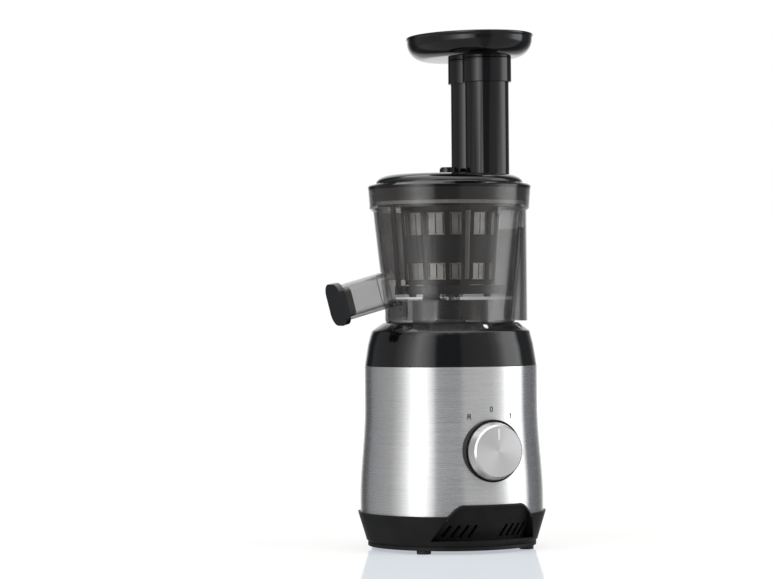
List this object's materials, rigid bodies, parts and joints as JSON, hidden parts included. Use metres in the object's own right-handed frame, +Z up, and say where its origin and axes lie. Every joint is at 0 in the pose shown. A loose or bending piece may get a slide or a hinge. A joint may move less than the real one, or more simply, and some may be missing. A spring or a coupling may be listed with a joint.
{
  "type": "cold press juicer",
  "caption": "Upright slow juicer: motor base with knob, smoky bowl with auger, strainer and wiper, capped juice spout, pulp outlet, twist-off lid, feed tube and tray.",
  "frame": {"origin": "on the auger's axis, at the height of the table", "axes": "+Z up along the auger's axis; the knob faces -Y; the juice spout points to -X"},
  "size_m": [0.1864, 0.1703, 0.423],
  "materials": {
    "base_plastic": "moulded charcoal black plastic with a fine grain",
    "foot_rubber": "black rubber",
    "gland_rubber": "black moulded rubber",
    "screw_steel": "zinc plated steel",
    "chassis_plastic": "moulded dark grey plastic",
    "sleeve_steel": "stainless steel brushed around the housing",
    "gloss_black": "gloss black plastic",
    "white_print": "white printed marks",
    "dark_print": "dark grey printed figures",
    "switch_plastic": "cream moulded plastic",
    "can_aluminium": "drawn aluminium can",
    "reed_plastic": "dark moulded plastic",
    "pack_steel": "stacked electrical steel sheet",
    "copper_wire": "enamelled copper winding",
    "cast_aluminium": "die-cast aluminium",
    "bronze": "sintered bronze",
    "shaft_steel": "ground steel",
    "seal_rubber": "black rubber",
    "fan_plastic": "dark moulded plastic",
    "gear_nylon": "natural nylon",
    "knob_aluminium": "spun aluminium with a bright chamfer",
    "knob_plastic": "black plastic",
    "smoky_plastic": "smoky see-through plastic",
    "clear_silicone": "pale silicone rubber",
    "cap_rubber": "dark silicone rubber",
    "inner_black": "black moulded plastic",
    "screen_steel": "etched stainless sheet",
    "magnet": "nickel plated magnet",
    "auger_plastic": "dark heat-proof plastic"
  },
  "bodies": {
    "base": {"base_shell": "base_plastic", "bottom_cover": "base_plastic", "rubber_feet": "foot_rubber", "cover_screws": "screw_steel", "cord_gland": "gland_rubber", "chassis": "chassis_plastic", "steel_sleeve": "sleeve_steel", "collar": "gloss_black", "lock_marks": "white_print", "knob_bezel": "base_plastic", "dial_marks": "dark_print", "rotary_switch": "switch_plastic", "motor_stator": "pack_steel", "stator_coils": "copper_wire", "motor_bracket_low": "cast_aluminium", "motor_bracket_high": "cast_aluminium", "motor_bearings": "bronze", "motor_screws": "screw_steel", "gearbox_housing": "cast_aluminium", "gearbox_cover": "cast_aluminium", "gearbox_screws": "screw_steel", "layshaft": "shaft_steel", "drive_bushes": "bronze", "shaft_seal": "seal_rubber", "run_capacitor": "can_aluminium", "terminal_block": "switch_plastic", "reed_switch": "reed_plastic"},
    "rotor": {"motor_rotor": "pack_steel", "motor_shaft": "shaft_steel", "motor_pinion": "bronze", "cooling_fan": "fan_plastic"},
    "lay_gear": {"first_gear": "gear_nylon", "lay_pinion": "shaft_steel"},
    "drive": {"output_gear": "gear_nylon", "drive_shaft": "shaft_steel"},
    "knob": {"knob_cap": "knob_aluminium", "knob_hub": "knob_plastic", "knob_pointer": "white_print", "switch_spindle": "switch_plastic"},
    "bowl": {"bowl": "smoky_plastic", "juice_spout": "smoky_plastic", "pulp_spout": "smoky_plastic", "bowl_hub_seal": "clear_silicone", "pulp_seal": "clear_silicone", "strainer_frame": "inner_black", "strainer_screen": "screen_steel", "idler_pin": "shaft_steel", "lock_magnet": "magnet"},
    "auger": {"auger": "auger_plastic", "auger_socket": "shaft_steel", "auger_gear": "gear_nylon"},
    "wiper": {"wiper_frame": "inner_black", "wiper_blades": "clear_silicone"},
    "idler": {"idler_gear": "gear_nylon"},
    "spout_cap": {"spout_cap": "gloss_black", "spout_cap_seal": "cap_rubber"},
    "lid_ring": {"lid_seal": "clear_silicone"},
    "lid": {"lid": "gloss_black"},
    "tray": {"feed_tray": "gloss_black", "tray_sleeve": "gloss_black"}
  },
  "joints": [
    {"name": "motor_spin", "type": "hinge", "parent": "base", "child": "rotor", "pos_m": [0, 0.006, 0.072], "axis": [0, 0, 1], "continuous": true},
    {"name": "lay_spin", "type": "hinge", "parent": "base", "child": "lay_gear", "pos_m": [0, 0.036, 0.116], "axis": [0, 0, 1], "continuous": true},
    {"name": "drive_spin", "type": "hinge", "parent": "base", "child": "drive", "pos_m": [0, 0, 0.124], "axis": [0, 0, 1], "continuous": true},
    {"name": "knob_turn", "type": "hinge", "parent": "base", "child": "knob", "pos_m": [0, -0.08, 0.083], "axis": [0, 1, 0], "range_deg": [-35, 35]},
    {"name": "bowl_lift", "type": "slide", "parent": "base", "child": "bowl", "axis": [0, 0, 1], "range_m": [0, 0.1]},
    {"name": "auger_spin", "type": "hinge", "parent": "bowl", "child": "auger", "pos_m": [0, 0, 0.23], "axis": [0, 0, 1], "continuous": true},
    {"name": "idler_spin", "type": "hinge", "parent": "bowl", "child": "idler", "pos_m": [-0.01768, -0.02107, 0.213], "axis": [0, 0, 1], "continuous": true},
    {"name": "wiper_spin", "type": "hinge", "parent": "bowl", "child": "wiper", "pos_m": [0, 0, 0.213], "axis": [0, 0, 1], "continuous": true},
    {"name": "spout_cap_pull", "type": "slide", "parent": "bowl", "child": "spout_cap", "axis": [-0.9659, 0, -0.2588], "range_m": [0, 0.03]},
    {"name": "lid_twist", "type": "hinge", "parent": "bowl", "child": "lid_ring", "pos_m": [0, 0, 0.284], "axis": [0, 0, 1], "range_deg": [0, 30]},
    {"name": "lid_lift", "type": "slide", "parent": "lid_ring", "child": "lid", "axis": [0, 0, 1], "range_m": [0, 0.12]},
    {"name": "tray_lift", "type": "slide", "parent": "lid", "child": "tray", "axis": [0, 0, 1], "range_m": [0, 0.06]}
  ],
  "couplings": [
    {"joint": "lay_spin", "follows": "motor_spin", "ratio": -0.25},
    {"joint": "drive_spin", "follows": "motor_spin", "ratio": 0.05},
    {"joint": "auger_spin", "follows": "motor_spin", "ratio": 0.05},
    {"joint": "idler_spin", "follows": "motor_spin", "ratio": -0.06},
    {"joint": "wiper_spin", "follows": "motor_spin", "ratio": -0.01875}
  ]
}
